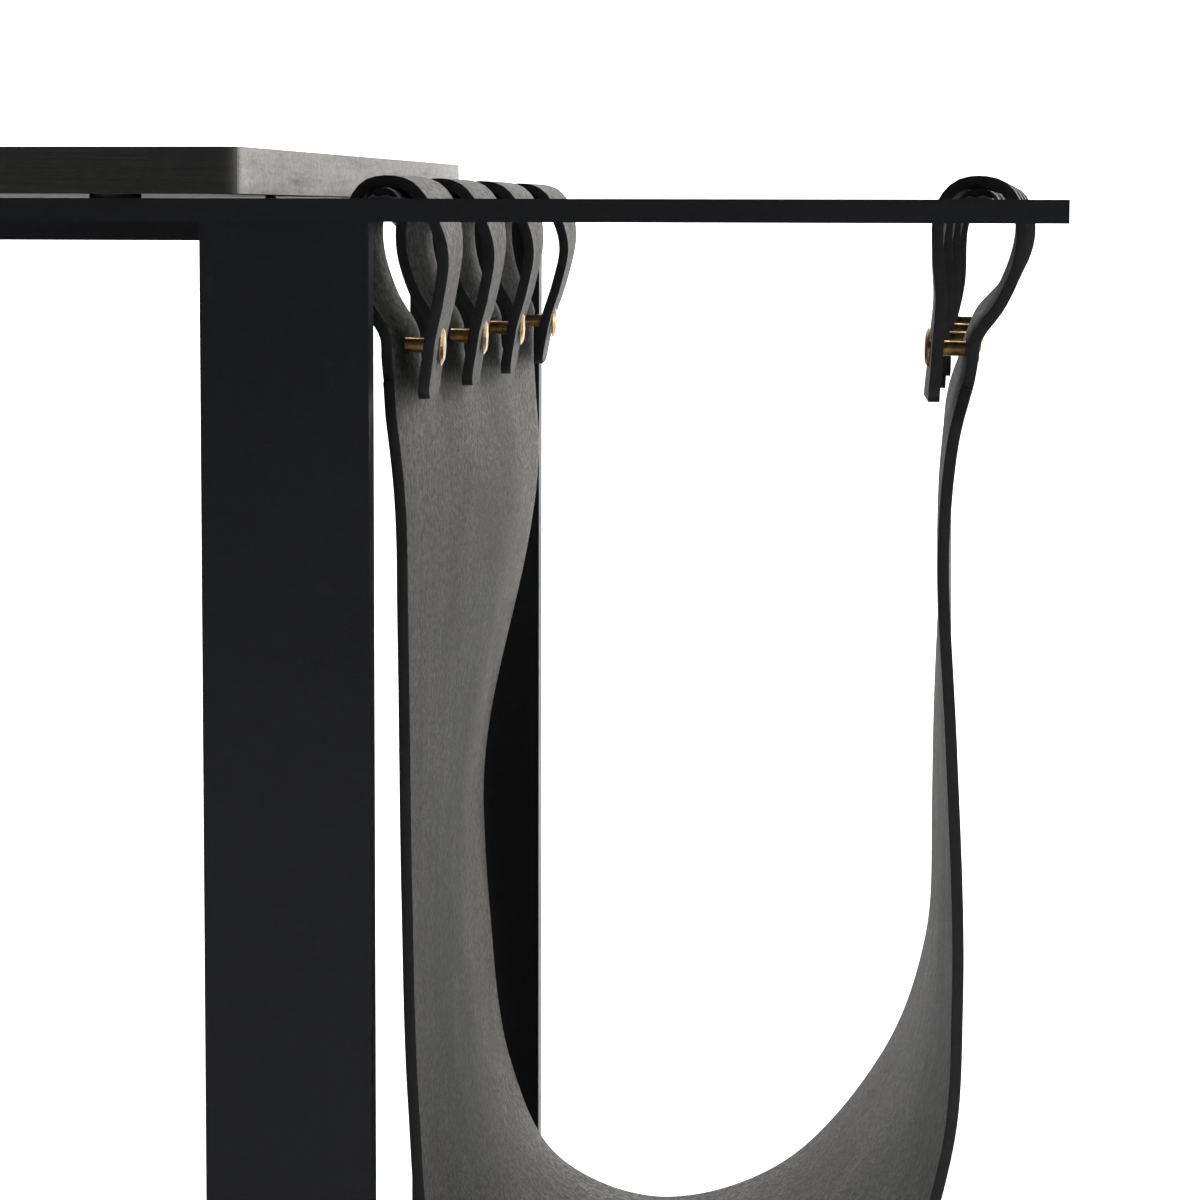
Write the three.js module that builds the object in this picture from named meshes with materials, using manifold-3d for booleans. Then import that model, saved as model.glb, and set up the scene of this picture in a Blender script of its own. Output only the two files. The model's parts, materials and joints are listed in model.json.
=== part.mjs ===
// A low steel bench with a leather log sling at its right-hand end.
// Millimetres, +Z up, X along the bench. The origin is on the floor under the middle of the bench.
import * as THREE from "three";
import { mergeVertices } from "three/addons/utils/BufferGeometryUtils.js";
import Module from "manifold-3d";

const wasm = await Module();
wasm.setup();

// ---- driving dimensions ----
const LENGTH = 900;
const DEPTH = 410;
const RAIL_TOP = 480;
const BAR = 8; // thickness of every flat bar
const RAIL_WIDTH = 20;
const RAIL_SPREAD = 366; // between the centre lines of the two rails
const LEG_WIDTH = 60;
const RIGHT_LEG_EDGE = 211; // right-hand edge of the right legs
const LEFT_LEG_EDGE = -360; // right-hand edge of the left legs
const CROSS_PLATE_WIDTH = 40;
const END_BAR_WIDTH = 20;
const SUPPORT_WIDTH = 40;
const FOOT_HEIGHT = 3;
const FOOT_RADIUS = 18;
const FOOT_Y = 160;

const BOARD_END = 170; // the right-hand end of the board, over the right legs
const BOARD_THICK = 16;
const BOARD_CORNER = 6;
const BOARD_PAD_HEIGHT = 1.5;
const BOARD_PAD_RADIUS = 9;
const BOARD_PAD_X = [-405, -130, 120];

const SCREW_Y = 120;
const SCREW_INSET = 9; // from the left-hand edge of a cross plate, so that both ends of the board cover them
const SCREW_RADIUS = 2;
const SCREW_HEAD_RADIUS = 5;
const SCREW_HEAD_HEIGHT = 2.5;
const SCREW_DEPTH = 10; // how far a seat screw goes into the board
const SCREW_TIP = 4;

const ROD_RADIUS = 6;
const INNER_ROD_X = 213;
const OUTER_ROD_X = 419.5;

const LEATHER = 4; // thickness of the hide
const STRAPS = 4;
const STRAP_WIDTH = 50;
const STRAP_SPAN = 330; // over all four straps
const SHOULDER = 4; // how far the body stands out past the outer straps
const SHOULDER_DROP = 62; // the straps start this far below the rods
const LOOP_LEAN = 1.6; // degrees that both rows of loops lean towards the bench
const LOOP_TWIST = { inner: 5.5, outer: 2.7 }; // degrees that each binding post turns about the vertical
const SLING_STEPS = 84; // straight steps along the hide
const LOOP_REACH = 40; // a box this far to each side of a rod holds its strap loops
const LOOP_RISE = 30; // and this far above the rails
const TAIL_NEAR = 8; // the free ends of the straps hang between these distances inwards from a rod
const TAIL_FAR = 30;
const TAIL_DROP = 12; // and reach less than this below the shoulders

// The rear edge of the hide hangs further to the left than its front edge: a little at the straps, and
// more where the hide hangs free. Each range is how far below the rods that share comes in.
const STRAP_DRIFT = { inner: 7.5, outer: 11, from: 0, to: 90 };
const BELLY_DRIFT = { inner: 28, outer: 10, from: 100, to: 275 };

const POST_DROP = 50; // binding posts, below the rods
const POST_INSET = 7.5; // middle of a post, inwards from its rod
const POST_GAP = 8; // between the two layers of leather
const POST_RADIUS = 2.7;
const POST_BORE = 1.8;
const POST_HEAD_RADIUS = 7;
const POST_HEAD_HEIGHT = 2;
const POST_FLOOR = 1.5; // metal left between the bore and the top of the head
const BINDING_RADIUS = 1.5;
const BINDING_HEAD_RADIUS = 5;
const BINDING_HEAD_HEIGHT = 1;
const GAP = 0.3; // clearance between pieces that fit into each other

// ---- derived dimensions ----
const RAIL_BOTTOM = RAIL_TOP - BAR;
const RAIL_INSIDE = RAIL_SPREAD / 2 - RAIL_WIDTH / 2;
const FLOOR_BAR_TOP = FOOT_HEIGHT + BAR;
const BOARD_BOTTOM = RAIL_TOP + BOARD_PAD_HEIGHT;
const ROD_Z = RAIL_BOTTOM + ROD_RADIUS; // the rods are level with the underside of the rails
const STRAP_PITCH = (STRAP_SPAN - STRAP_WIDTH) / (STRAPS - 1);
const BODY_SPAN = STRAP_SPAN + 2 * SHOULDER;
const LAYER = (POST_GAP + LEATHER) / 2; // from the middle of a post to the middle of each layer
const SIDES = {
  inner: { rod: INNER_ROD_X, inwards: 1, twist: LOOP_TWIST.inner },
  outer: { rod: OUTER_ROD_X, inwards: -1, twist: LOOP_TWIST.outer },
};

// Half of one strap loop, as [inwards from the rod, up from the rod], down the middle of the hide.
// It starts at the free end of the strap, goes over the rod and comes down on the far side.
const LOOP = [
  [POST_INSET + LAYER, -68],
  [POST_INSET + LAYER, -POST_DROP],
  [14.4, -33],
  [16, -15],
  [13.5, -1],
  [7.8, 6.4],
  [0, ROD_RADIUS + LEATHER / 2 + GAP],
  [-8.4, 6],
  [-13.6, -4],
  [-13.4, -17],
  [-7.6, -33],
  [0.7, -46],
  [POST_INSET - LAYER, -POST_DROP - 4],
];

// The hanging part at its front edge, as [x, z], from one side to the other.
const BELLY = [
  [214, 414],
  [218.2, 375],
  [219.5, 328],
  [219.6, 235],
  [222.4, 159],
  [231, 85],
  [252, 40],
  [297, 22],
  [351, 40],
  [395, 95],
  [412.4, 149],
  [414.8, 203],
  [411.6, 290],
  [408.4, 362],
  [410.8, 398],
  [415.5, 418],
];

// The free layer of each strap bows out from LOOP by this much, half-way down to its post.
const BOW = { inner: 2.4, outer: -1.6 };

const MATERIALS = {
  steel: new THREE.MeshStandardMaterial({ color: 0x1c1d20, roughness: 0.5, metalness: 0.6 }),
  wood: new THREE.MeshStandardMaterial({ color: 0x2a2521, roughness: 0.7, metalness: 0 }),
  leather: new THREE.MeshStandardMaterial({ color: 0x2b2a28, roughness: 0.75, metalness: 0 }),
  brass: new THREE.MeshStandardMaterial({ color: 0xb58a4a, roughness: 0.3, metalness: 1 }),
  rubber: new THREE.MeshStandardMaterial({ color: 0x151515, roughness: 0.9, metalness: 0 }),
};

const bench = new THREE.Group();

// ---- helpers ----
function addMesh(name, geometry, material) {
  const mesh = new THREE.Mesh(geometry, MATERIALS[material]);
  mesh.name = name;
  bench.add(mesh);
  return mesh;
}

// A plain bar from its lowest corner to its highest.
function bar([x0, y0, z0], [x1, y1, z1]) {
  const box = new THREE.BoxGeometry(x1 - x0, y1 - y0, z1 - z0);
  return box.translate((x0 + x1) / 2, (y0 + y1) / 2, (z0 + z1) / 2);
}

function solidOf(geometry) {
  const bare = geometry.clone();
  bare.deleteAttribute("normal");
  bare.deleteAttribute("uv");
  const merged = mergeVertices(bare, 1e-4);
  return new wasm.Manifold(
    new wasm.Mesh({
      numProp: 3,
      vertProperties: merged.attributes.position.array,
      triVerts: new Uint32Array(merged.index.array),
    }),
  );
}

function geometryOf(solid) {
  const { vertProperties, triVerts } = solid.getMesh();
  const geometry = new THREE.BufferGeometry();
  geometry.setAttribute("position", new THREE.BufferAttribute(vertProperties, 3));
  geometry.setIndex(new THREE.BufferAttribute(triVerts, 1));
  geometry.computeVertexNormals();
  return geometry;
}

function cut(geometry, tools) {
  let solid = solidOf(geometry);
  for (const tool of tools) {
    solid = solid.subtract(solidOf(tool));
  }
  return geometryOf(solid);
}

// A turned piece about +Z, from [radius, height] points that start and end on the axis.
function turned(profile, sides) {
  const points = profile.map(([radius, height]) => new THREE.Vector2(radius, height));
  return new THREE.LatheGeometry(points, sides).rotateX(Math.PI / 2);
}

function uprightDisc(radius, height, sides) {
  return new THREE.CylinderGeometry(radius, radius, height, sides).rotateX(Math.PI / 2);
}

// ---- steel frame ----
function addRails() {
  for (const [name, side] of [["front_rail", -1], ["rear_rail", 1]]) {
    const y = (side * RAIL_SPREAD) / 2;
    const low = [-LENGTH / 2, y - RAIL_WIDTH / 2, RAIL_BOTTOM];
    const high = [LENGTH / 2, y + RAIL_WIDTH / 2, RAIL_TOP];
    addMesh(name, bar(low, high), "steel");
  }
}

function addLegFrame(side, rightEdge) {
  const left = rightEdge - LEG_WIDTH;
  for (const [place, sign] of [["front", -1], ["rear", 1]]) {
    const y = (sign * RAIL_SPREAD) / 2;
    const low = [left, y - BAR / 2, FLOOR_BAR_TOP];
    const high = [rightEdge, y + BAR / 2, RAIL_BOTTOM];
    addMesh(`${side}_${place}_leg`, bar(low, high), "steel");
    const foot = uprightDisc(FOOT_RADIUS, FOOT_HEIGHT, 32);
    foot.translate((left + rightEdge) / 2, sign * FOOT_Y, FOOT_HEIGHT / 2);
    addMesh(`foot_pad_${side}_${place}`, foot, "rubber");
  }
  const half = RAIL_SPREAD / 2 + BAR / 2;
  const floorBar = bar([left, -half, FOOT_HEIGHT], [rightEdge, half, FLOOR_BAR_TOP]);
  addMesh(`${side}_floor_bar`, floorBar, "steel");
}

function screwPlaces(left) {
  const x = left + SCREW_INSET;
  return [[x, -SCREW_Y], [x, SCREW_Y]];
}

function addCrossPlate(side, left) {
  const low = [left, -RAIL_INSIDE, RAIL_BOTTOM];
  const high = [left + CROSS_PLATE_WIDTH, RAIL_INSIDE, RAIL_TOP];
  const holes = screwPlaces(left).map(([x, y]) =>
    uprightDisc(SCREW_RADIUS + GAP, 3 * BAR, 16).translate(x, y, RAIL_BOTTOM),
  );
  addMesh(`${side}_cross_plate`, cut(bar(low, high), holes), "steel");
}

function addEndBar() {
  const left = -LENGTH / 2;
  const low = [left, -RAIL_INSIDE, RAIL_BOTTOM];
  const high = [left + END_BAR_WIDTH, RAIL_INSIDE, RAIL_TOP];
  addMesh("left_end_bar", bar(low, high), "steel");
}

// A flat bar under the board, welded below the two cross plates.
function addSeatSupport(leftPlate, rightPlate) {
  const low = [leftPlate, -SUPPORT_WIDTH / 2, RAIL_BOTTOM - BAR];
  const high = [rightPlate + CROSS_PLATE_WIDTH / 2, SUPPORT_WIDTH / 2, RAIL_BOTTOM];
  addMesh("seat_support_bar", bar(low, high), "steel");
}

function addRods() {
  for (const [name, { rod }] of Object.entries(SIDES)) {
    const length = 2 * RAIL_INSIDE;
    const geometry = new THREE.CylinderGeometry(ROD_RADIUS, ROD_RADIUS, length, 32);
    addMesh(`${name}_sling_rod`, geometry.translate(rod, 0, ROD_Z), "steel");
  }
}

// ---- seat board ----
function boardOutline() {
  const [left, right, half, r] = [-LENGTH / 2, BOARD_END, DEPTH / 2, BOARD_CORNER];
  const outline = new THREE.Shape();
  outline.absarc(right - r, half - r, r, 0, Math.PI / 2);
  outline.absarc(left + r, half - r, r, Math.PI / 2, Math.PI);
  outline.absarc(left + r, r - half, r, Math.PI, 1.5 * Math.PI);
  outline.absarc(right - r, r - half, r, 1.5 * Math.PI, 2 * Math.PI);
  return outline;
}

function addSeatBoard(screws) {
  const settings = { depth: BOARD_THICK, bevelEnabled: false, curveSegments: 6 };
  const board = new THREE.ExtrudeGeometry(boardOutline(), settings);
  board.translate(0, 0, BOARD_BOTTOM);
  const depth = SCREW_DEPTH + GAP;
  const pilots = screws.map(([x, y]) =>
    uprightDisc(SCREW_RADIUS + GAP, 2 * depth, 16).translate(x, y, BOARD_BOTTOM),
  );
  addMesh("seat_board", cut(board, pilots), "wood");
}

function addBoardPads() {
  let count = 0;
  for (const x of BOARD_PAD_X) {
    for (const sign of [-1, 1]) {
      count += 1;
      const pad = uprightDisc(BOARD_PAD_RADIUS, BOARD_PAD_HEIGHT, 24);
      pad.translate(x, (sign * RAIL_SPREAD) / 2, RAIL_TOP + BOARD_PAD_HEIGHT / 2);
      addMesh(`board_pad_${count}`, pad, "rubber");
    }
  }
}

function addSeatScrews(screws) {
  const top = BAR + BOARD_PAD_HEIGHT + SCREW_DEPTH;
  const profile = [
    [0, -SCREW_HEAD_HEIGHT],
    [SCREW_HEAD_RADIUS * 0.7, -SCREW_HEAD_HEIGHT],
    [SCREW_HEAD_RADIUS, -SCREW_HEAD_HEIGHT * 0.4],
    [SCREW_HEAD_RADIUS, 0],
    [SCREW_RADIUS, 0],
    [SCREW_RADIUS, top - SCREW_TIP],
    [0, top],
  ];
  screws.forEach(([x, y], i) => {
    const screw = turned(profile, 24).translate(x, y, RAIL_BOTTOM);
    addMesh(`seat_screw_${i + 1}`, screw, "steel");
  });
}

// ---- leather sling ----
// How far the rear edge of the hide hangs to the left of its front edge, at a point of the front edge.
function drift(x, z) {
  const drop = ROD_Z - z;
  const across = THREE.MathUtils.clamp((x - INNER_ROD_X) / (OUTER_ROD_X - INNER_ROD_X), 0, 1);
  let total = 0;
  for (const { inner, outer, from, to } of [STRAP_DRIFT, BELLY_DRIFT]) {
    total += THREE.MathUtils.lerp(inner, outer, across) * THREE.MathUtils.smoothstep(drop, from, to);
  }
  return total;
}

// A point given inwards and up from a side's rod, in the bench's x and z, with the lean of the loops.
function besideRod({ rod, inwards }, inset, up) {
  const lean = THREE.MathUtils.degToRad(LOOP_LEAN) * inwards;
  const turnedInset = inset * Math.cos(lean) + up * Math.sin(lean);
  const turnedUp = up * Math.cos(lean) - inset * Math.sin(lean);
  return [rod + inwards * turnedInset, ROD_Z + turnedUp];
}

// The points of one side's strap loop, from its free end.
function loopPoints(name) {
  return LOOP.map(([inset, up]) => {
    const free = inset > POST_INSET && up < 0 && up > -POST_DROP;
    const bow = free ? BOW[name] * Math.sin((Math.PI * -up) / POST_DROP) : 0;
    return besideRod(SIDES[name], inset + bow, up);
  });
}

// The middle line of the hide at its front edge, from the free end of one row of straps to the other.
function slingLine() {
  const first = loopPoints("inner");
  const last = loopPoints("outer").reverse();
  const points = [...first, ...BELLY, ...last].map(([x, z]) => new THREE.Vector3(x, 0, z));
  return new THREE.CatmullRomCurve3(points, false, "centripetal").getPoints(SLING_STEPS);
}

// The hide before its slots are cut: a strip as wide as the body, 4 mm thick, twisted by the drift.
function slingStrip() {
  const line = slingLine();
  const corners = [];
  line.forEach((point, i) => {
    const before = line[Math.max(i - 1, 0)];
    const after = line[Math.min(i + 1, line.length - 1)];
    const along = after.clone().sub(before).normalize();
    const shift = drift(point.x, point.z);
    for (const [y, moved] of [[-BODY_SPAN / 2, 0], [BODY_SPAN / 2, shift]]) {
      for (const side of [-LEATHER / 2, LEATHER / 2]) {
        corners.push(point.x - moved - side * along.z, y, point.z + side * along.x);
      }
    }
  });
  const faces = [];
  const quad = (a, b, c, d) => faces.push(a, c, b, a, d, c);
  for (let i = 0; i < line.length - 1; i += 1) {
    const [a, b] = [4 * i, 4 * i + 4];
    quad(a, a + 1, b + 1, b);
    quad(a + 3, a + 2, b + 2, b + 3);
    quad(a + 2, a, b, b + 2);
    quad(a + 1, a + 3, b + 3, b + 1);
  }
  const end = 4 * (line.length - 1);
  quad(0, 2, 3, 1);
  quad(end, end + 1, end + 3, end + 2);
  const strip = new THREE.BufferGeometry();
  strip.setAttribute("position", new THREE.Float32BufferAttribute(corners, 3));
  strip.setIndex(faces);
  return strip;
}

// The stretches across the hide that hold no strap: the slots, and the steps past the outer straps.
function strapGaps() {
  const gaps = [[-BODY_SPAN, -STRAP_SPAN / 2]];
  for (let i = 0; i < STRAPS - 1; i += 1) {
    const y = -STRAP_SPAN / 2 + STRAP_WIDTH + i * STRAP_PITCH;
    gaps.push([y, y + STRAP_PITCH - STRAP_WIDTH]);
  }
  gaps.push([STRAP_SPAN / 2, BODY_SPAN]);
  return gaps;
}

// The boxes that part the straps. The free ends reach a little below the shoulders, on the inner side only.
function gapBoxes() {
  const low = ROD_Z - SHOULDER_DROP;
  const high = RAIL_TOP + LOOP_RISE;
  const boxes = [];
  for (const { rod, inwards } of Object.values(SIDES)) {
    const tail = [rod + inwards * TAIL_NEAR, rod + inwards * TAIL_FAR].sort((a, b) => a - b);
    for (const [y0, y1] of strapGaps()) {
      boxes.push(bar([rod - LOOP_REACH, y0, low], [rod + LOOP_REACH, y1, high]));
      boxes.push(bar([tail[0], y0, low - TAIL_DROP], [tail[1], y1, low + GAP]));
    }
  }
  return boxes;
}

// Each binding post: which side it is on, and where its middle is.
function postPlaces() {
  const places = [];
  for (const [name, side] of Object.entries(SIDES)) {
    const [x, z] = besideRod(side, POST_INSET, -POST_DROP);
    for (let i = 0; i < STRAPS; i += 1) {
      const y = -STRAP_SPAN / 2 + STRAP_WIDTH / 2 + i * STRAP_PITCH;
      const back = (y + BODY_SPAN / 2) / BODY_SPAN;
      places.push({ name: `${name}_${i + 1}`, side, x: x - back * drift(x, z), y, z });
    }
  }
  return places;
}

// Turns a piece made about +Z so that +Z points inwards over the sling, and puts it on its post.
function onPost(geometry, { side, x, y, z }) {
  const lean = THREE.MathUtils.degToRad(LOOP_LEAN);
  geometry.rotateY((side.inwards * Math.PI) / 2 + lean);
  geometry.rotateZ(THREE.MathUtils.degToRad(side.twist));
  return geometry.translate(x, y, z);
}

// The hole for one post, and the shallow seats that its two heads press into the hide.
function postHole(place) {
  const half = POST_GAP / 2 + LEATHER;
  const bore = uprightDisc(POST_RADIUS + GAP, 4 * half, 20);
  const headSeat = uprightDisc(POST_HEAD_RADIUS + GAP, LEATHER, 24).translate(0, 0, half + LEATHER / 2);
  const screwSeat = uprightDisc(BINDING_HEAD_RADIUS + GAP, LEATHER, 24).translate(0, 0, -half - LEATHER / 2);
  return [bore, headSeat, screwSeat].map((tool) => onPost(tool, place));
}

function addSling(posts) {
  const tools = [...gapBoxes(), ...posts.flatMap(postHole)];
  addMesh("leather_sling", cut(slingStrip(), tools), "leather");
}

function addBindingPosts(posts) {
  const half = POST_GAP / 2 + LEATHER;
  const under = half + GAP; // underside of the head
  const top = under + POST_HEAD_HEIGHT;
  const post = [
    [0, top],
    [POST_HEAD_RADIUS * 0.75, top - POST_HEAD_HEIGHT * 0.25],
    [POST_HEAD_RADIUS, top - POST_HEAD_HEIGHT * 0.75],
    [POST_HEAD_RADIUS, under],
    [POST_RADIUS, under],
    [POST_RADIUS, -half],
    [POST_BORE, -half],
    [POST_BORE, top - POST_FLOOR],
    [0, top - POST_FLOOR],
  ].reverse();
  const outside = -half - GAP; // where the flat screw head starts
  const screw = [
    [0, outside - BINDING_HEAD_HEIGHT],
    [BINDING_HEAD_RADIUS * 0.9, outside - BINDING_HEAD_HEIGHT],
    [BINDING_HEAD_RADIUS, outside],
    [BINDING_RADIUS, outside],
    [BINDING_RADIUS, half - GAP],
    [0, half - GAP],
  ];
  for (const place of posts) {
    addMesh(`sling_post_${place.name}`, onPost(turned(post, 24), place), "brass");
    addMesh(`sling_screw_${place.name}`, onPost(turned(screw, 24), place), "brass");
  }
}

// ---- assembly ----
const rightPlate = RIGHT_LEG_EDGE - LEG_WIDTH;
const leftPlate = LEFT_LEG_EDGE - LEG_WIDTH;
const seatScrews = [...screwPlaces(leftPlate), ...screwPlaces(rightPlate)];
const posts = postPlaces();

addRails();
addLegFrame("right", RIGHT_LEG_EDGE);
addLegFrame("left", LEFT_LEG_EDGE);
addCrossPlate("right", rightPlate);
addCrossPlate("left", leftPlate);
addEndBar();
addSeatSupport(leftPlate, rightPlate);
addRods();
addSeatBoard(seatScrews);
addBoardPads();
addSeatScrews(seatScrews);
addSling(posts);
addBindingPosts(posts);

export default bench;
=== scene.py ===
"""A low steel bench with a leather log sling, as shown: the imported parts, a fine leather sling, weld beads,
materials, soft studio light and the camera. Metres, +Z up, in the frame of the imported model."""

import json
import math

import bmesh
import bpy
from mathutils import Matrix, Vector, noise


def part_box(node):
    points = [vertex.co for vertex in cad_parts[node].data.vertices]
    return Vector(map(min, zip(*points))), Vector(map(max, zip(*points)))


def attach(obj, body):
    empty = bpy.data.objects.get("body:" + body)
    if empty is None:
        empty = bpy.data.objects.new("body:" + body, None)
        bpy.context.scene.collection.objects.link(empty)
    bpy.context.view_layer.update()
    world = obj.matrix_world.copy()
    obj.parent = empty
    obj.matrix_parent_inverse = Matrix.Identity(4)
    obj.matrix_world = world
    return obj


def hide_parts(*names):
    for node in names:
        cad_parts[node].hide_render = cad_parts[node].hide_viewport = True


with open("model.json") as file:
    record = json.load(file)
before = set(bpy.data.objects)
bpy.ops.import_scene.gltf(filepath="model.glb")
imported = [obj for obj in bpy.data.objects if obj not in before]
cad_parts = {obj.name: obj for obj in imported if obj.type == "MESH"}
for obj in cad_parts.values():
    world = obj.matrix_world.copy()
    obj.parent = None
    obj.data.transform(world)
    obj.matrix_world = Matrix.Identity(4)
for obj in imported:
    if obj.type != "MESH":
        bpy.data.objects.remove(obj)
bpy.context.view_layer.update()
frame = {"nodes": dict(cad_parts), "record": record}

MM = 0.001

# ---- places taken from the frame ----
nodes = frame["nodes"]
SIDES = {"inner": 1, "outer": -1}  # which way is inwards over the sling, along X
RODS = {side: sum(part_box(f"{side}_sling_rod"), Vector()) / 2 for side in SIDES}
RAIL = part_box("front_rail")
ROD_Z = RODS["inner"].z
ROD_RADIUS = (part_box("inner_sling_rod")[1].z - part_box("inner_sling_rod")[0].z) / 2
SLING_LOW, SLING_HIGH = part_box("leather_sling")
POST_Y = [sum(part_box(f"sling_post_inner_{i}"), Vector()).y / 2 for i in range(1, 5)]

# ---- camera ----
EYE = Vector((0.4500, -1.2890, 0.4745))
TURN_LEFT = math.radians(8.17)
TURN_UP = math.radians(-4.65)
ROLL = math.radians(0.14)
LENS = 97.7  # for a 36 mm sensor
SHIFT = (0, -0.10)

# ---- the sling's own sizes ----
LEATHER = 4 * MM
STRAP_WIDTH = 50 * MM
SHOULDER_DROP = 62 * MM  # the slots between the straps end this far below the rods
SLOT_RADIUS = 9 * MM
SLOT_HALF = 21.7 * MM  # half the width of the slot between two straps
# How far each strap's free end flares inwards over the sling, in millimetres,
# from the front strap to the rear.
FLARE = {
    "inner": (-1.5, -1.5, -1.0, -1.0),
    "outer": (0.6, -0.4, -1.4, 0.4),
}
SHOULDER_STEP = 3.2 * MM  # the shoulder's top is this much narrower than the body
SHOULDER_SLOPE = 14 * MM
LOOP_LEAN = math.radians(1.6)
# Degrees that each layer of a strap is turned, which moves its rear edge towards the bench.
TWIST = {
    "inner": {"free": 5.5, "hide": -1.0},
    "outer": {"free": 2.7, "hide": 2.7},
}
TWIST_START = 30 * MM  # from the rod's top down, over which the twist comes in
TWIST_FADE = 75 * MM  # below the shoulders, over which the twist dies out
BOW = {"inner": 2.4, "outer": -1.6}  # how far each free layer bows out from LOOP, in millimetres
POST_DROP = 50 * MM
POST_INSET = 7.5 * MM
END_RADIUS = 3 * MM  # corners of the straps' free ends
FREE_END = 17 * MM  # of each strap below its post
STEP_ALONG = 3 * MM
STEP_ACROSS = 4 * MM
CURVE_STEPS = 24  # between two points of the line, before it is spaced evenly
WAVER = 0.35 * MM  # of the hand-cut edges
RIPPLE = 1.8 * MM  # of the hanging part
RIPPLE_FROM, RIPPLE_TO = 70 * MM, 160 * MM  # below the rods, over which the ripple comes in
HIDE_EDGE = 0.7 * MM  # the rounding of the cut edges

# The middle of the hide over one rod, as (inwards, up) from the rod in millimetres, from the free end.
LOOP = [
    (13.5, -68), (13.5, -50), (14.4, -33), (16, -15), (13.5, -1), (7.8, 6.4), (0, 8.3),
    (-8.4, 6), (-13.6, -4), (-13.4, -17), (-7.6, -33), (0.7, -46), (1.5, -54),
]

# The hanging part at the front edge, as (x, z) in millimetres.
BELLY = [
    (214, 414), (218.2, 375), (219.5, 328), (219.6, 235), (222.4, 159), (231, 85), (252, 40),
    (297, 22), (351, 40), (395, 95), (412.4, 149), (414.8, 203), (411.6, 290), (408.4, 362),
    (410.8, 398), (415.5, 418),
]

# How far the rear edge hangs to the left of the front edge, on the inner and the outer side, and how far
# below the rods that comes in.
STRAP_DRIFT = (7.5 * MM, 11 * MM, 0, 90 * MM)
BELLY_DRIFT = (28 * MM, 10 * MM, 100 * MM, 275 * MM)

# ---- welds ----
WELD_SIDES = 10
WELD_LUMP = 1.6 * MM  # from one lump of a bead to the next
LEG_WELD_RADIUS = 2.0 * MM
LEG_WELD_INSET = 3 * MM  # from each edge of the leg
ROD_WELD_RADIUS = 1.3 * MM
ROD_WELD_INSET = 1 * MM

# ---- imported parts' bevels, as (width, segments) for each material slot ----
BEVELS = {
    "frame_steel": (1.0 * MM, 3),
    "screw_steel": (0.25 * MM, 2),
    "board_wood": (2.2 * MM, 4),
    "brass": (0.2 * MM, 2),
    "rubber": (0.35 * MM, 2),
}
BEVEL_ANGLE = math.radians(40)

# ---- studio ----
FLOOR_HALF = 9.0  # half the floor's width
FLOOR_BACK = 5.0  # where the backdrop stands
FLOOR_CURVE = 2.0  # the radius between the floor and the backdrop
FLOOR_CURVE_STEPS = 16
BACKDROP_HEIGHT = 6.0


# ---- shader helpers ----
def new_material(name):
    material = bpy.data.materials.new(name)
    material.use_nodes = True
    tree = material.node_tree
    tree.nodes.clear()
    output = tree.nodes.new("ShaderNodeOutputMaterial")
    shader = tree.nodes.new("ShaderNodeBsdfPrincipled")
    tree.links.new(shader.outputs["BSDF"], output.inputs["Surface"])
    return material, tree, shader


def feed(tree, socket, value):
    """Links a node's output into a socket, or sets a plain value on it."""
    if isinstance(value, bpy.types.NodeSocket):
        tree.links.new(value, socket)
    else:
        socket.default_value = value


def coordinates(tree, scale=(1, 1, 1)):
    place = tree.nodes.new("ShaderNodeTexCoord")
    mapping = tree.nodes.new("ShaderNodeMapping")
    mapping.inputs["Scale"].default_value = scale
    tree.links.new(place.outputs["Object"], mapping.inputs["Vector"])
    return mapping.outputs["Vector"]


def noise_node(tree, vector, scale, detail=4, roughness=0.5, distortion=0.0):
    node = tree.nodes.new("ShaderNodeTexNoise")
    tree.links.new(vector, node.inputs["Vector"])
    node.inputs["Scale"].default_value = scale
    node.inputs["Detail"].default_value = detail
    node.inputs["Roughness"].default_value = roughness
    node.inputs["Distortion"].default_value = distortion
    return node.outputs["Fac"]


def voronoi_node(tree, vector, scale, feature="F1"):
    node = tree.nodes.new("ShaderNodeTexVoronoi")
    node.feature = feature
    tree.links.new(vector, node.inputs["Vector"])
    node.inputs["Scale"].default_value = scale
    return node.outputs["Distance"]


def ramp(tree, value, stops):
    """A colour ramp; stops are (position, grey or colour)."""
    node = tree.nodes.new("ShaderNodeValToRGB")
    tree.links.new(value, node.inputs["Fac"])
    elements = node.color_ramp.elements
    while len(elements) < len(stops):
        elements.new(0.5)
    for element, (position, colour) in zip(elements, stops):
        element.position = position
        shade = colour if isinstance(colour, tuple) else (colour, colour, colour)
        element.color = (*shade, 1)
    return node.outputs["Color"]


def mix(tree, factor, first, second, mode="MIX"):
    node = tree.nodes.new("ShaderNodeMix")
    node.data_type = "RGBA"
    node.blend_type = mode
    feed(tree, node.inputs["Factor"], factor)
    for socket, value in ((node.inputs["A"], first), (node.inputs["B"], second)):
        feed(tree, socket, (*value, 1) if isinstance(value, tuple) else value)
    return node.outputs["Result"]


def maths(tree, operation, first, second):
    node = tree.nodes.new("ShaderNodeMath")
    node.operation = operation
    feed(tree, node.inputs[0], first)
    feed(tree, node.inputs[1], second)
    return node.outputs["Value"]


def bump(tree, height, strength, distance, before=None):
    node = tree.nodes.new("ShaderNodeBump")
    tree.links.new(height, node.inputs["Height"])
    node.inputs["Strength"].default_value = strength
    node.inputs["Distance"].default_value = distance
    if before is not None:
        tree.links.new(before, node.inputs["Normal"])
    return node.outputs["Normal"]


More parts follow.
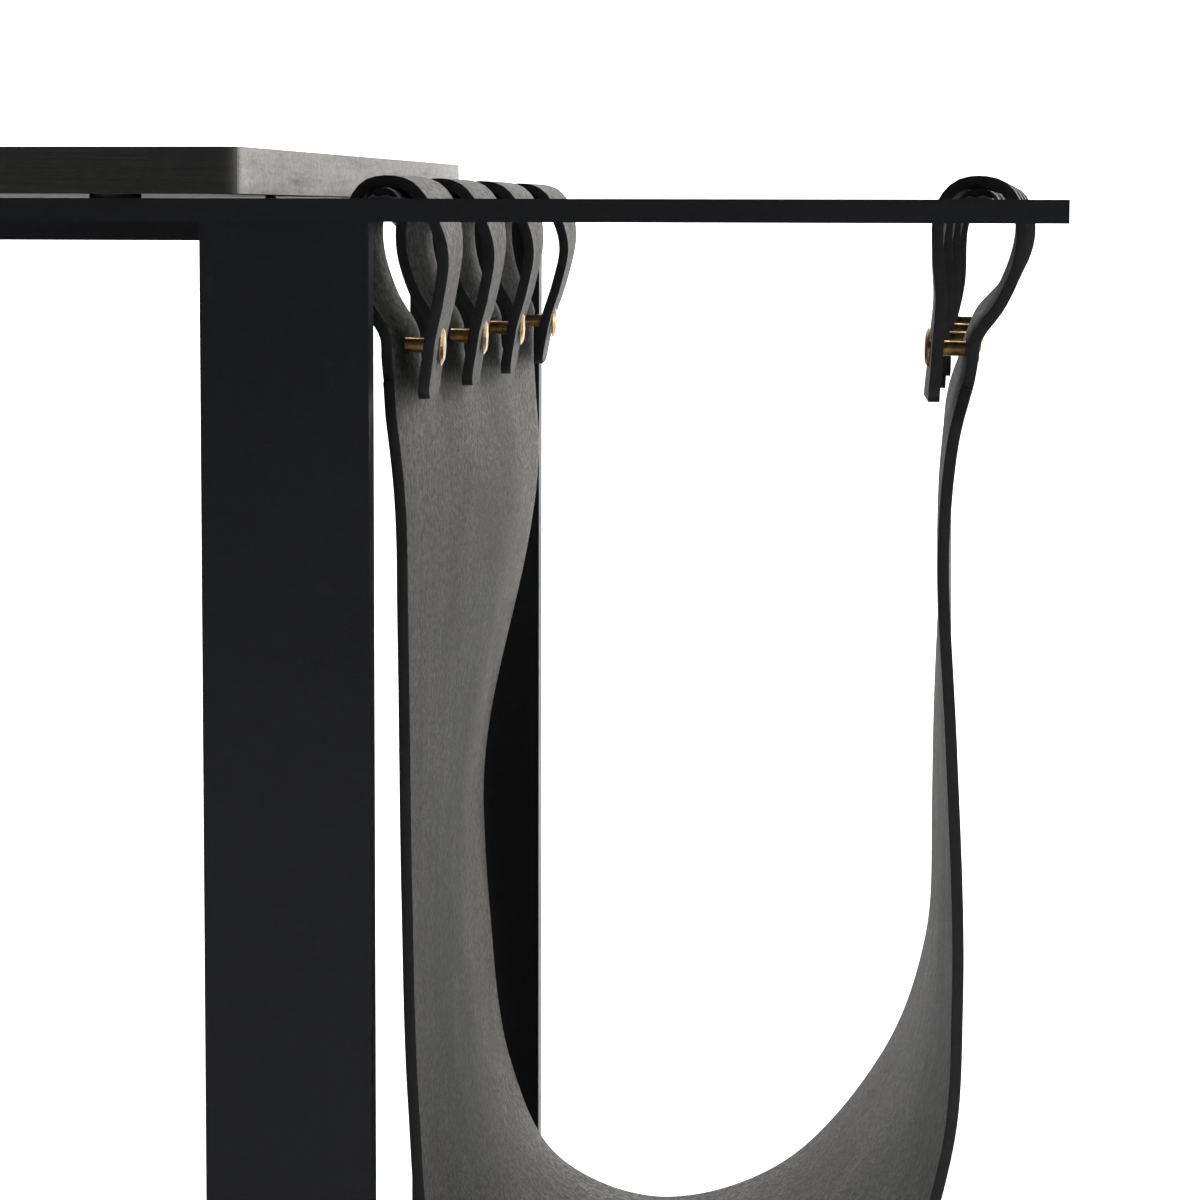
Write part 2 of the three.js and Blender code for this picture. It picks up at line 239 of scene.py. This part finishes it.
# ---- materials ----
def powder_coat():
    """Satin black powder coat, with faint clouds, a fine speckle and a few light scuffs."""
    material, tree, shader = new_material("black_powder_coat")
    place = coordinates(tree)
    cloud = noise_node(tree, place, 9, 5, 0.6)
    speckle = noise_node(tree, place, 900, 2, 0.6)
    colour = ramp(tree, cloud, [(0.3, (0.0040, 0.0047, 0.0064)), (0.7, (0.0066, 0.0075, 0.0100))])
    scuff = ramp(tree, noise_node(tree, place, 60, 6, 0.7, 0.4), [(0.62, 0.0), (0.72, 1.0)])
    colour = mix(tree, maths(tree, "MULTIPLY", scuff, 0.2), colour, (0.022, 0.023, 0.027))
    feed(tree, shader.inputs["Base Color"], colour)
    feed(tree, shader.inputs["Roughness"], ramp(tree, cloud, [(0.3, 0.38), (0.7, 0.5)]))
    shader.inputs["Specular IOR Level"].default_value = 0.2
    grain = bump(tree, speckle, 0.25, 0.0004)
    feed(tree, shader.inputs["Normal"], bump(tree, cloud, 0.1, 0.002, grain))
    return material


def weld_metal():
    """Painted weld metal with a lumpy face."""
    material, tree, shader = new_material("painted_weld")
    place = coordinates(tree)
    lumps = noise_node(tree, place, 260, 4, 0.6)
    feed(tree, shader.inputs["Base Color"], ramp(tree, lumps, [(0.3, 0.005), (0.7, 0.012)]))
    shader.inputs["Roughness"].default_value = 0.42
    shader.inputs["Specular IOR Level"].default_value = 0.3
    feed(tree, shader.inputs["Normal"], bump(tree, lumps, 0.6, 0.001))
    return material


def black_oxide():
    """The dark finish of the seat screws."""
    material, tree, shader = new_material("black_oxide_screw")
    place = coordinates(tree)
    cloud = noise_node(tree, place, 300, 4, 0.6)
    feed(tree, shader.inputs["Base Color"], ramp(tree, cloud, [(0.3, 0.02), (0.7, 0.05)]))
    feed(tree, shader.inputs["Roughness"], ramp(tree, cloud, [(0.3, 0.32), (0.7, 0.5)]))
    shader.inputs["Metallic"].default_value = 0.9
    feed(tree, shader.inputs["Normal"], bump(tree, cloud, 0.2, 0.0004))
    return material


def stained_board():
    """Black-stained timber: long grain along X, open pores, and light grey ends, partly the end grain's own
    dusty grey and partly painted light from the side.
    """
    material, tree, shader = new_material("black_stained_board")
    along = coordinates(tree, (1.2, 26, 26))
    grain = noise_node(tree, along, 6, 8, 0.65, 0.6)
    pores = noise_node(tree, coordinates(tree, (14, 420, 420)), 2, 3, 0.7)
    blotch = noise_node(tree, coordinates(tree), 55, 6, 0.7, 0.3)
    colour = ramp(tree, grain, [(0.35, (0.006, 0.0058, 0.0055)), (0.52, (0.011, 0.0105, 0.0098)),
                                (0.7, (0.02, 0.0185, 0.017))])
    dust = ramp(tree, blotch, [(0.42, 0.0), (0.68, 1.0)])
    colour = mix(tree, maths(tree, "MULTIPLY", dust, 0.16), colour, (0.05, 0.046, 0.041))
    normal_of = tree.nodes.new("ShaderNodeNewGeometry").outputs["Normal"]
    parts = tree.nodes.new("ShaderNodeSeparateXYZ")
    tree.links.new(normal_of, parts.inputs["Vector"])
    # The ends, facing along X, are painted much lighter: partly the end grain's own grey, partly painted
    # light as if lit from the side.
    end = ramp(tree, maths(tree, "ABSOLUTE", parts.outputs["X"], 0.0), [(0.75, 0.0), (0.95, 1.0)])
    end_spots = noise_node(tree, coordinates(tree, (1, 1, 1.8)), 420, 6, 0.7, 0.3)
    end_streaks = noise_node(tree, coordinates(tree, (1, 14, 160)), 1.6, 6, 0.7, 0.4)
    end_grain_and_painted_light = ramp(tree, end_streaks, [(0.30, (0.09, 0.083, 0.077)), (0.46, (0.165, 0.155, 0.146)),
                                          (0.66, (0.20, 0.19, 0.18))])
    speck = ramp(tree, end_spots, [(0.30, 0.7), (0.58, 1.05)])
    end_grain_and_painted_light = mix(tree, 1.0, end_grain_and_painted_light, speck, "MULTIPLY")
    feed(tree, shader.inputs["Base Color"], mix(tree, end, colour, end_grain_and_painted_light))
    feed(tree, shader.inputs["Roughness"], ramp(tree, grain, [(0.3, 0.5), (0.7, 0.72)]))
    shader.inputs["Specular IOR Level"].default_value = 0.3
    relief = bump(tree, pores, 0.35, 0.0006)
    feed(tree, shader.inputs["Normal"], bump(tree, end_spots, 0.25, 0.0008, relief))
    return material


def leather_face():
    """Thick dry black leather: fine pebbled grain, long soft creases, and a pale dusty bloom."""
    material, tree, shader = new_material("black_leather_face")
    place = coordinates(tree)
    bloom = noise_node(tree, place, 13, 6, 0.62, 0.6)
    streaks = noise_node(tree, coordinates(tree, (1, 1, 0.22)), 60, 6, 0.7, 0.5)
    dust = noise_node(tree, place, 380, 4, 0.85)
    cells = voronoi_node(tree, place, 800, "DISTANCE_TO_EDGE")
    creases = noise_node(tree, coordinates(tree, (1, 1, 0.5)), 75, 6, 0.7, 1.2)
    base = ramp(tree, bloom, [(0.34, (0.058, 0.0555, 0.0520)), (0.52, (0.076, 0.0730, 0.0685)),
                              (0.7, (0.096, 0.0920, 0.0865))])
    tone = ramp(tree, streaks, [(0.34, 0.86), (0.64, 1.06)])
    base = mix(tree, 1.0, base, tone, "MULTIPLY")
    speck = ramp(tree, dust, [(0.40, 0.35), (0.5, 0.95), (0.60, 1.8)])
    base = mix(tree, 1.0, base, speck, "MULTIPLY")
    feed(tree, shader.inputs["Base Color"], base)
    feed(tree, shader.inputs["Roughness"], ramp(tree, dust, [(0.3, 0.62), (0.7, 0.82)]))
    shader.inputs["Specular IOR Level"].default_value = 0.12
    relief = bump(tree, ramp(tree, cells, [(0.0, 0.0), (0.15, 1.0)]), 0.35, 0.0006)
    relief = bump(tree, creases, 0.4, 0.0015, relief)
    feed(tree, shader.inputs["Normal"], bump(tree, dust, 0.5, 0.0008, relief))
    return material


def leather_edge():
    """The cut edge of the hide: darker, burnished, with layered fibres along it."""
    material, tree, shader = new_material("black_leather_edge")
    place = coordinates(tree)
    fibres = noise_node(tree, place, 380, 6, 0.7, 0.5)
    cloud = noise_node(tree, place, 40, 5, 0.6)
    colour = ramp(tree, fibres, [(0.32, (0.004, 0.0045, 0.005)), (0.7, (0.0105, 0.011, 0.0115))])
    colour = mix(tree, maths(tree, "MULTIPLY", ramp(tree, cloud, [(0.5, 0.0), (0.7, 1.0)]), 0.3), colour,
                 (0.02, 0.0195, 0.0185))
    feed(tree, shader.inputs["Base Color"], colour)
    feed(tree, shader.inputs["Roughness"], ramp(tree, fibres, [(0.3, 0.45), (0.7, 0.65)]))
    shader.inputs["Specular IOR Level"].default_value = 0.22
    feed(tree, shader.inputs["Normal"], bump(tree, fibres, 0.5, 0.0006))
    return material


def aged_brass():
    """Brass with brown tarnish and fine marks."""
    material, tree, shader = new_material("aged_brass")
    place = coordinates(tree)
    tarnish = noise_node(tree, place, 220, 6, 0.65, 0.4)
    marks = noise_node(tree, coordinates(tree, (60, 900, 900)), 3, 3, 0.6)
    colour = ramp(tree, tarnish, [(0.35, (0.14, 0.082, 0.028)), (0.55, (0.30, 0.19, 0.075)),
                                  (0.75, (0.55, 0.39, 0.18))])
    feed(tree, shader.inputs["Base Color"], colour)
    feed(tree, shader.inputs["Roughness"], ramp(tree, tarnish, [(0.3, 0.42), (0.7, 0.22)]))
    shader.inputs["Metallic"].default_value = 1.0
    feed(tree, shader.inputs["Normal"], bump(tree, marks, 0.12, 0.0003))
    return material


def black_rubber():
    """Dull rubber with a fine grain."""
    material, tree, shader = new_material("black_rubber")
    grain = noise_node(tree, coordinates(tree), 500, 4, 0.6)
    feed(tree, shader.inputs["Base Color"], ramp(tree, grain, [(0.3, 0.012), (0.7, 0.03)]))
    feed(tree, shader.inputs["Roughness"], ramp(tree, grain, [(0.3, 0.75), (0.7, 0.92)]))
    feed(tree, shader.inputs["Normal"], bump(tree, grain, 0.4, 0.0005))
    return material


def pale_floor():
    """A plain floor that is almost white."""
    material, tree, shader = new_material("pale_floor")
    cloud = noise_node(tree, coordinates(tree), 3, 3, 0.5)
    feed(tree, shader.inputs["Base Color"], ramp(tree, cloud, [(0.3, 0.9), (0.7, 0.93)]))
    shader.inputs["Roughness"].default_value = 0.8
    return material


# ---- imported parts: bevelled edges and their materials ----
def dress(node, material, bevel, segments):
    part = nodes[node]
    part.data.materials.clear()
    part.data.materials.append(material)
    if bevel:
        modifier = part.modifiers.new("edge", "BEVEL")
        modifier.width = bevel
        modifier.segments = segments
        modifier.limit_method = "ANGLE"
        modifier.angle_limit = BEVEL_ANGLE
        modifier.harden_normals = True
    part.data.shade_smooth()


def dress_frame(steel, screw, board, brass, rubber):
    """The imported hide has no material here, because the fine sling replaces it."""
    materials = {
        "frame_steel": steel,
        "screw_steel": screw,
        "board_wood": board,
        "brass": brass,
        "rubber": rubber,
    }
    for item in frame["record"]["subparts"]:
        node, slot = item["node"], item["material_slot"]
        if slot in materials:
            width, segments = BEVELS[slot]
            dress(node, materials[slot], 0 if "rod" in node else width, segments)


# ---- the leather sling ----
def smoothstep(value, low, high):
    t = min(max((value - low) / (high - low), 0), 1)
    return t * t * (3 - 2 * t)


def drift(x, z):
    """How far the hide's rear edge hangs towards the bench from its front edge."""
    across = min(max((x - RODS["inner"].x) / (RODS["outer"].x - RODS["inner"].x), 0), 1)
    total = 0
    for inner, outer, start, end in (STRAP_DRIFT, BELLY_DRIFT):
        total += (inner + (outer - inner) * across) * smoothstep(ROD_Z - z, start, end)
    return total


def beside_rod(side, inset, up):
    """The point this far inwards from a rod and above it, leaning with that side's loops."""
    lean = LOOP_LEAN * SIDES[side]
    turned_inset = inset * math.cos(lean) + up * math.sin(lean)
    turned_up = up * math.cos(lean) - inset * math.sin(lean)
    return Vector((RODS[side].x + SIDES[side] * turned_inset, 0, ROD_Z + turned_up))


def smooth_line(points, step):
    """Points a step apart on a centripetal Catmull-Rom curve through the given ones."""
    fine = []
    padded = [2 * points[0] - points[1], *points, 2 * points[-1] - points[-2]]
    for a, b, c, d in zip(padded, padded[1:], padded[2:], padded[3:]):
        t0 = 0.0
        t1 = t0 + (b - a).length ** 0.5
        t2 = t1 + (c - b).length ** 0.5
        t3 = t2 + (d - c).length ** 0.5
        for k in range(CURVE_STEPS):
            t = t1 + (t2 - t1) * k / CURVE_STEPS
            a1 = a * ((t1 - t) / (t1 - t0)) + b * ((t - t0) / (t1 - t0))
            a2 = b * ((t2 - t) / (t2 - t1)) + c * ((t - t1) / (t2 - t1))
            a3 = c * ((t3 - t) / (t3 - t2)) + d * ((t - t2) / (t3 - t2))
            b1 = a1 * ((t2 - t) / (t2 - t0)) + a2 * ((t - t0) / (t2 - t0))
            b2 = a2 * ((t3 - t) / (t3 - t1)) + a3 * ((t - t1) / (t3 - t1))
            fine.append(b1 * ((t2 - t) / (t2 - t1)) + b2 * ((t - t1) / (t2 - t1)))
    fine.append(points[-1].copy())
    return evenly(fine, step)


def evenly(points, step):
    """The same line with its points evenly spaced, about a step apart."""
    lengths = [0.0]
    for first, second in zip(points, points[1:]):
        lengths.append(lengths[-1] + (second - first).length)
    count = max(2, round(lengths[-1] / step))
    result = []
    k = 0
    for i in range(count + 1):
        target = lengths[-1] * i / count
        while k < len(points) - 2 and lengths[k + 1] < target:
            k += 1
        share = (target - lengths[k]) / max(lengths[k + 1] - lengths[k], 1e-12)
        result.append(points[k].lerp(points[k + 1], min(max(share, 0), 1)))
    return result


def loop_points(side):
    """The points of one side's strap loop, from its free end."""
    points = []
    for inset, up in LOOP:
        free = inset * MM > POST_INSET and -POST_DROP < up * MM < 0
        bow = BOW[side] * math.sin(math.pi * -up * MM / POST_DROP) if free else 0
        points.append(beside_rod(side, (inset + bow) * MM, up * MM))
    return points


def sling_line():
    """The middle line of the hide at its front edge, from one row of free ends to the other."""
    first = loop_points("inner")
    last = loop_points("outer")[::-1]
    belly = [Vector((x * MM, 0, z * MM)) for x, z in BELLY]
    return smooth_line([*first, *belly, *last], STEP_ALONG)


def strap_spans():
    """The straps' edges across the hide, from front to rear."""
    return [(y - STRAP_WIDTH / 2, y + STRAP_WIDTH / 2) for y in POST_Y]


def rows_across(spans, low, high):
    """Evenly spread places from the hide's front edge to its rear, with one at each strap's edge."""
    marks = [low]
    for start, end in spans:
        marks += [start, end]
    marks.append(high)
    places = [low]
    for a, b in zip(marks, marks[1:]):
        count = max(1, round((b - a) / STEP_ACROSS))
        places += [a + (b - a) * (i + 1) / count for i in range(count)]
    return places


def rod_crossings(line):
    """The points of the line that are right over the two rods."""
    middle = len(line) // 2
    first = max(range(middle), key=lambda i: line[i].z)
    return first, max(range(middle, len(line)), key=lambda i: line[i].z)


def body_range(line):
    """The first and last points of the line that are on the hanging body, below both rows of straps."""
    shoulder_z = ROD_Z - SHOULDER_DROP
    tops = rod_crossings(line)
    below = [i for i in range(tops[0], tops[1]) if line[i].z <= shoulder_z]
    return below[0], below[-1]


def strap_spread(above):
    """How much wider a strap is, on each side, this far above the bottom of the slots beside it."""
    if above >= SLOT_RADIUS:
        return 0.0
    if above >= 0:
        return SLOT_RADIUS - math.sqrt(SLOT_RADIUS ** 2 - (SLOT_RADIUS - above) ** 2)
    return SLOT_RADIUS * max(0.0, 1 + above / (2 * SLOT_RADIUS))


def strap_trim(from_end):
    """How much narrower a strap is, on each side, this far from its free end."""
    if from_end >= END_RADIUS:
        return 0.0
    return END_RADIUS - math.sqrt(END_RADIUS ** 2 - (END_RADIUS - from_end) ** 2)


def across_at(y, spans, above, from_end):
    """Where the point of the hide at y goes, with the slots' and straps' corners rounded."""
    stand = SHOULDER_STEP * (1 - smoothstep(-above, 0, SHOULDER_SLOPE))
    if y < spans[0][0]:
        return y + stand
    if y > spans[-1][1]:
        return y - stand
    spread = strap_spread(above)
    for index, (start, end) in enumerate(spans):
        if start <= y <= end:
            side = (2 * y - start - end) / (end - start)
            outer = (index == 0 and side < 0) or (index == len(spans) - 1 and side > 0)
            return y + side ** 3 * ((0 if outer else spread) - strap_trim(from_end)) + waver(y, above)
    for (_, left), (right, _) in zip(spans, spans[1:]):
        if left < y < right:
            share = (y - left) / (right - left)
            return y + spread * (1 - 2 * share) + waver(y, above)
    return y


def waver(y, above):
    """The slight unevenness of a hand-cut edge."""
    return WAVER * noise.noise(Vector((y * 40, above * 45, 3.0)))


def strap_sway(index, side, from_end):
    """How far a strap flares inwards over the sling, this far from its free end."""
    reach = smoothstep(FREE_END - from_end, 0, FREE_END)
    return FLARE[side][index] * MM * reach


def strap_turn(y, spans, above, z, twist):
    """How far a strap's twist moves the hide at y towards the bench: not at all over the rod."""
    hold = smoothstep(ROD_Z + ROD_RADIUS - z, 0, TWIST_START) * (1 - smoothstep(-above, 0, TWIST_FADE))
    start, end = min(spans, key=lambda span: max(span[0] - y, y - span[1]))
    middle = (start + end) / 2
    offset = min(max(y - middle, start - middle), end - middle)
    gap = 0 if above > 0 else max(start - y, y - end, 0)
    return math.tan(math.radians(twist)) * offset * hold * max(1 - gap / SLOT_HALF, 0)


def hide_column(line, i, spans, across):
    """The places of the hide's points from its front edge to its rear, at one point of the line."""
    point = line[i]
    low, high = SLING_LOW.y, SLING_HIGH.y
    step = (line[1] - line[0]).length
    tops = rod_crossings(line)
    first_body, last_body = body_range(line)
    above = step * max(first_body - i, i - last_body)
    from_end = step * min(i, len(line) - 1 - i)
    side = "inner" if i < len(line) / 2 else "outer"
    twist = TWIST[side]["free" if i < tops[0] or i > tops[1] else "hide"]
    column = []
    for y in across:
        new_y = across_at(y, spans, above, from_end)
        back = (new_y - low) / (high - low)
        place = Vector((point.x - back * drift(point.x, point.z), new_y, point.z))
        place.x -= strap_turn(y, spans, above, point.z, twist)
        for index, (start, end) in enumerate(spans):
            if from_end < FREE_END and start <= y <= end:
                place.x += SIDES[side] * strap_sway(index, side, from_end)
        column.append(place + ripple(place))
    return column


def add_hide_faces(mesh, grid, line, spans, across):
    """Faces over the body and the straps, with the slots between the straps left open."""
    first_body, last_body = body_range(line)
    for i in range(len(line) - 1):
        body = first_body <= i < last_body
        for j in range(len(across) - 1):
            middle = (across[j] + across[j + 1]) / 2
            on_strap = any(start < middle < end for start, end in spans)
            if body or on_strap:
                mesh.faces.new((grid[i][j], grid[i][j + 1], grid[i + 1][j + 1], grid[i + 1][j]))


def build_sling(face, edge):
    """One hide as a grid bent along its line, then thickened."""
    line = sling_line()
    spans = strap_spans()
    across = rows_across(spans, SLING_LOW.y, SLING_HIGH.y)
    mesh = bmesh.new()
    grid = [
        [mesh.verts.new(place) for place in hide_column(line, i, spans, across)]
        for i in range(len(line))
    ]
    add_hide_faces(mesh, grid, line, spans, across)
    loose = [v for v in mesh.verts if not v.link_faces]
    bmesh.ops.delete(mesh, geom=loose, context="VERTS")
    data = bpy.data.meshes.new("leather_sling_skin")
    mesh.to_mesh(data)
    mesh.free()
    sling = bpy.data.objects.new("leather_sling_skin", data)
    bpy.context.scene.collection.objects.link(sling)
    data.materials.append(face)
    data.materials.append(edge)
    thicken(sling)
    data.shade_smooth()
    return sling


def ripple(place):
    """The slight unevenness of a hanging hide, in the plane of the bench's length."""
    depth = smoothstep(ROD_Z - place.z, RIPPLE_FROM, RIPPLE_TO)
    slow = noise.noise(Vector((place.x * 3, place.y * 7, place.z * 6)))
    return Vector((RIPPLE * depth * slow, 0, 0))


def thicken(sling):
    """Gives the hide its thickness, with the cut edge's material on its rim and its edges rounded."""
    solid = sling.modifiers.new("hide", "SOLIDIFY")
    solid.thickness = LEATHER
    solid.offset = 0
    solid.use_even_offset = True
    solid.material_offset_rim = 1
    soft = sling.modifiers.new("edge", "BEVEL")
    soft.width = HIDE_EDGE
    soft.segments = 2
    soft.limit_method = "ANGLE"
    soft.angle_limit = math.radians(50)


# ---- welds ----
def weld_bead(name, start, end, radius, material):
    """A short lumpy bead from one point to another."""
    along = end - start
    count = max(4, round(along.length / WELD_LUMP))
    side = along.normalized().orthogonal().normalized()
    up = along.normalized().cross(side)
    mesh = bmesh.new()
    rings = []
    for i in range(count + 1):
        centre = start + along * (i / count)
        swell = radius * (0.85 + 0.25 * math.sin(i * 2.1) + 0.15 * noise.noise(centre * 400))
        swell *= 0.45 if i in (0, count) else 1
        ring = []
        for k in range(WELD_SIDES):
            turn = 2 * math.pi * k / WELD_SIDES
            ring.append(mesh.verts.new(centre + (side * math.cos(turn) + up * math.sin(turn)) * swell))
        rings.append(ring)
    for first, second in zip(rings, rings[1:]):
        for k in range(WELD_SIDES):
            after = (k + 1) % WELD_SIDES
            mesh.faces.new((first[k], second[k], second[after], first[after]))
    mesh.faces.new(rings[0])
    mesh.faces.new(list(reversed(rings[-1])))
    data = bpy.data.meshes.new(name)
    mesh.to_mesh(data)
    mesh.free()
    data.materials.append(material)
    data.shade_smooth()
    bead = bpy.data.objects.new(name, data)
    bpy.context.scene.collection.objects.link(bead)
    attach(bead, "frame")


def add_welds(material):
    """Beads at the top and the foot of each leg, and where the rods meet the rails."""
    for side in ("right", "left"):
        for place, inward in (("front", 1), ("rear", -1)):
            low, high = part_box(f"{side}_{place}_leg")
            y = high.y if inward > 0 else low.y
            start = Vector((low.x + LEG_WELD_INSET, y, high.z))
            end = Vector((high.x - LEG_WELD_INSET, y, high.z))
            weld_bead(f"weld_{side}_{place}_leg", start, end, LEG_WELD_RADIUS, material)
            foot = Vector((0, 0, low.z - high.z))
            weld_bead(f"weld_{side}_{place}_foot", start + foot, end + foot, LEG_WELD_RADIUS, material)
    for side in SIDES:
        low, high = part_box(f"{side}_sling_rod")
        for place, y in (("front", low.y), ("rear", high.y)):
            start = Vector((low.x + ROD_WELD_INSET, y, RAIL[1].z))
            end = Vector((high.x - ROD_WELD_INSET, y, RAIL[1].z))
            weld_bead(f"weld_{side}_rod_{place}", start, end, ROD_WELD_RADIUS, material)


# ---- stage ----
def add_stage(material):
    """A floor that curves up into a backdrop."""
    flat_end = FLOOR_BACK - FLOOR_CURVE
    profile = [(-FLOOR_HALF, 0.0), (flat_end, 0.0)]
    for k in range(1, FLOOR_CURVE_STEPS + 1):
        turn = math.pi / 2 * k / FLOOR_CURVE_STEPS
        profile.append((flat_end + FLOOR_CURVE * math.sin(turn), FLOOR_CURVE - FLOOR_CURVE * math.cos(turn)))
    profile.append((FLOOR_BACK, BACKDROP_HEIGHT))
    mesh = bmesh.new()
    left = [mesh.verts.new((-FLOOR_HALF, y, z)) for y, z in profile]
    right = [mesh.verts.new((FLOOR_HALF, y, z)) for y, z in profile]
    for k in range(len(profile) - 1):
        mesh.faces.new((left[k], right[k], right[k + 1], left[k + 1]))
    data = bpy.data.meshes.new("studio_floor")
    mesh.to_mesh(data)
    mesh.free()
    data.materials.append(material)
    data.shade_smooth()
    floor = bpy.data.objects.new("studio_floor", data)
    bpy.context.scene.collection.objects.link(floor)


def add_light(name, place, target, size, power):
    data = bpy.data.lights.new(name, "AREA")
    data.shape = "RECTANGLE"
    data.size, data.size_y = size
    data.energy = power
    light = bpy.data.objects.new(name, data)
    light.location = place
    light.rotation_euler = (Vector(target) - Vector(place)).to_track_quat("-Z", "Y").to_euler()
    bpy.context.scene.collection.objects.link(light)


def studio_world():
    """A white studio that is brightest behind and to the right, and dim behind the camera."""
    world = bpy.data.worlds.new("studio")
    world.use_nodes = True
    tree = world.node_tree
    background = tree.nodes["Background"]
    place = tree.nodes.new("ShaderNodeTexCoord")
    parts = tree.nodes.new("ShaderNodeSeparateXYZ")
    tree.links.new(place.outputs["Generated"], parts.inputs["Vector"])
    sideways = maths(tree, "MULTIPLY", parts.outputs["X"], 0.25)
    backwards = maths(tree, "MULTIPLY", parts.outputs["Y"], 0.45)
    share = maths(tree, "ADD", maths(tree, "ADD", sideways, backwards), 0.5)
    glow = ramp(tree, share, [(0.15, 0.2), (0.5, 0.34), (0.85, 1.0)])
    feed(tree, background.inputs["Color"], glow)
    background.inputs["Strength"].default_value = 1.0
    bpy.context.scene.world = world


def add_lights():
    """A large window at the right, a soft light from above, and a wash on the backdrop."""
    studio_world()
    middle = (0.25, 0, 0.3)
    backdrop = (0.0, 4.0, 0.3)
    add_light("right_window", (2.2, 0.5, 1.0), middle, size=(1.6, 1.6), power=85)
    add_light("top_soft", (0.3, 0.8, 2.6), middle, size=(2.6, 2.0), power=30)
    add_light("back_wash", (0.0, 2.6, 3.4), backdrop, size=(6.0, 2.0), power=330)
    bpy.context.scene.view_settings.view_transform = "Standard"


def add_camera():
    """Level with the rails in front of the free end, looking left and a little down at the sling."""
    data = bpy.data.cameras.new("camera")
    data.sensor_width = 36
    data.lens = LENS
    data.shift_x, data.shift_y = SHIFT
    data.clip_start = 0.05
    camera = bpy.data.objects.new("camera", data)
    aim = Matrix.Rotation(TURN_LEFT, 4, "Z") @ Matrix.Rotation(math.pi / 2 + TURN_UP, 4, "X")
    camera.matrix_world = Matrix.Translation(EYE) @ aim @ Matrix.Rotation(ROLL, 4, "Z")
    bpy.context.scene.collection.objects.link(camera)
    bpy.context.scene.camera = camera


# ---- making ----
add_camera()
add_lights()
add_stage(pale_floor())
dress_frame(powder_coat(), black_oxide(), stained_board(), aged_brass(), black_rubber())
sling = build_sling(leather_face(), leather_edge())
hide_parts("leather_sling")
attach(sling, "sling")
add_welds(weld_metal())
